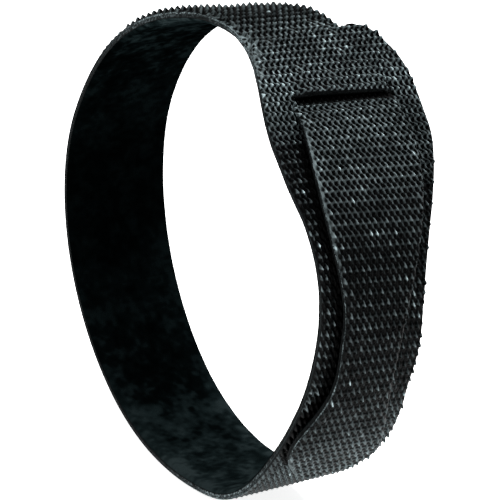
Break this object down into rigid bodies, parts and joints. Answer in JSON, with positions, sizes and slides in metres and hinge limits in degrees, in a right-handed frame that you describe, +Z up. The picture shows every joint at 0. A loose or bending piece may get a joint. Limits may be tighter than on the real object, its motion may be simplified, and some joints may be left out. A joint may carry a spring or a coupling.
{
  "type": "esd wrist strap",
  "caption": "Black back-to-back hook-and-loop wrist strap, wide slotted head at one end, its free tail drawn through the slot and pressed back over the band.",
  "frame": {"origin": "centre of the wrist opening, halfway between the edges of the plain band", "axes": "+X towards the free tail, +Y along the wrist, +Z up"},
  "size_m": [0.0716, 0.0208, 0.0669],
  "materials": {
    "loop_pile": "soft brushed loop pile, matt",
    "loop_tape": "fine woven tape",
    "bond_film": "thin clear-grey adhesive film, seen only on cut edges",
    "hook_tape": "woven tape, lightly frayed on cut edges",
    "hooks": "rows of stiff nylon hooks with small glints"
  },
  "bodies": {
    "band": {"band_loop_pile": "loop_pile", "band_loop_tape": "loop_tape", "band_bond_film": "bond_film", "band_hook_tape": "hook_tape", "band_hooks": "hooks"},
    "head_flap": {"head_flap_loop_pile": "loop_pile", "head_flap_loop_tape": "loop_tape", "head_flap_bond_film": "bond_film", "head_flap_hook_tape": "hook_tape", "head_flap_hooks": "hooks"},
    "tail_1": {"tail_1_loop_pile": "loop_pile", "tail_1_loop_tape": "loop_tape", "tail_1_bond_film": "bond_film", "tail_1_hook_tape": "hook_tape", "tail_1_hooks": "hooks"},
    "tail_2": {"tail_2_loop_pile": "loop_pile", "tail_2_loop_tape": "loop_tape", "tail_2_bond_film": "bond_film", "tail_2_hook_tape": "hook_tape", "tail_2_hooks": "hooks"},
    "tail_3": {"tail_3_loop_pile": "loop_pile", "tail_3_loop_tape": "loop_tape", "tail_3_bond_film": "bond_film", "tail_3_hook_tape": "hook_tape", "tail_3_hooks": "hooks"},
    "tail_4": {"tail_4_loop_pile": "loop_pile", "tail_4_loop_tape": "loop_tape", "tail_4_bond_film": "bond_film", "tail_4_hook_tape": "hook_tape", "tail_4_hooks": "hooks"},
    "tail_5": {"tail_5_loop_pile": "loop_pile", "tail_5_loop_tape": "loop_tape", "tail_5_bond_film": "bond_film", "tail_5_hook_tape": "hook_tape", "tail_5_hooks": "hooks"},
    "tail_6": {"tail_6_loop_pile": "loop_pile", "tail_6_loop_tape": "loop_tape", "tail_6_bond_film": "bond_film", "tail_6_hook_tape": "hook_tape", "tail_6_hooks": "hooks"},
    "tail_7": {"tail_7_loop_pile": "loop_pile", "tail_7_loop_tape": "loop_tape", "tail_7_bond_film": "bond_film", "tail_7_hook_tape": "hook_tape", "tail_7_hooks": "hooks"}
  },
  "joints": [
    {"name": "head_flap_lift", "type": "hinge", "parent": "band", "child": "head_flap", "pos_m": [0.02496, 0, 0.02903], "axis": [0, 1, 0], "range_deg": [0, 55]},
    {"name": "tail_peel_1", "type": "hinge", "parent": "band", "child": "tail_1", "pos_m": [0.02583, 0, 0.02833], "axis": [0, -1, 0], "range_deg": [0, 25]},
    {"name": "tail_peel_2", "type": "hinge", "parent": "tail_1", "child": "tail_2", "pos_m": [0.03156, 0, 0.02203], "axis": [0, -1, 0], "range_deg": [0, 25]},
    {"name": "tail_peel_3", "type": "hinge", "parent": "tail_2", "child": "tail_3", "pos_m": [0.03531, 0, 0.01438], "axis": [0, -1, 0], "range_deg": [0, 25]},
    {"name": "tail_peel_4", "type": "hinge", "parent": "tail_3", "child": "tail_4", "pos_m": [0.03678, 0, 0.00599], "axis": [0, -1, 0], "range_deg": [0, 25]},
    {"name": "tail_peel_5", "type": "hinge", "parent": "tail_4", "child": "tail_5", "pos_m": [0.03586, 0, -0.00248], "axis": [0, -1, 0], "range_deg": [0, 25]},
    {"name": "tail_peel_6", "type": "hinge", "parent": "tail_5", "child": "tail_6", "pos_m": [0.03264, 0, -0.01033], "axis": [0, -1, 0], "range_deg": [0, 25]},
    {"name": "tail_peel_7", "type": "hinge", "parent": "tail_6", "child": "tail_7", "pos_m": [0.02803, 0, -0.01706], "axis": [0, -1, 0], "range_deg": [0, 25]}
  ]
}
